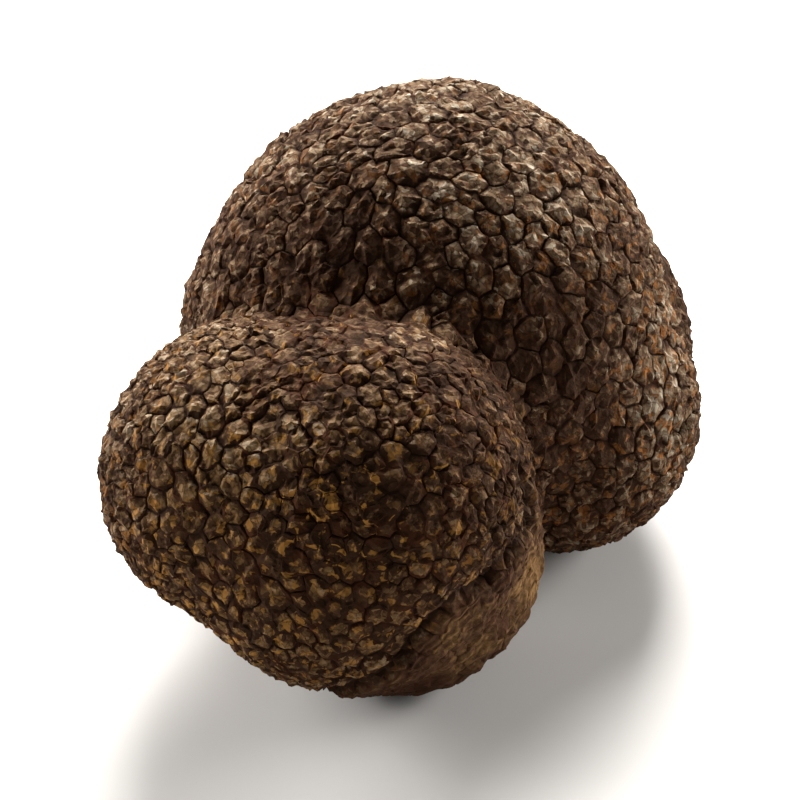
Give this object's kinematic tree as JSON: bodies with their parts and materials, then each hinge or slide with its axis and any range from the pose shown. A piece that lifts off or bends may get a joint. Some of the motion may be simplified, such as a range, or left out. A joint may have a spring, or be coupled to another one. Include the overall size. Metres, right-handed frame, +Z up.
{
  "type": "summer truffle",
  "caption": "Whole warty truffle of two main rounded lobes and smaller side lobes, resting on small flats pressed into its underside.",
  "frame": {"origin": "on the ground, under the middle of the truffle's outline", "axes": "+Z up; the large front lobe is towards -Y, the crown is behind it, and the small right shoulder is towards +X"},
  "size_m": [0.067, 0.0728, 0.0532],
  "materials": {
    "truffle_skin": "dry matte dark brown rind, with paler tan rubbed wart tops and near black grooves"
  },
  "bodies": {
    "root": {"truffle": "truffle_skin"}
  },
  "joints": []
}
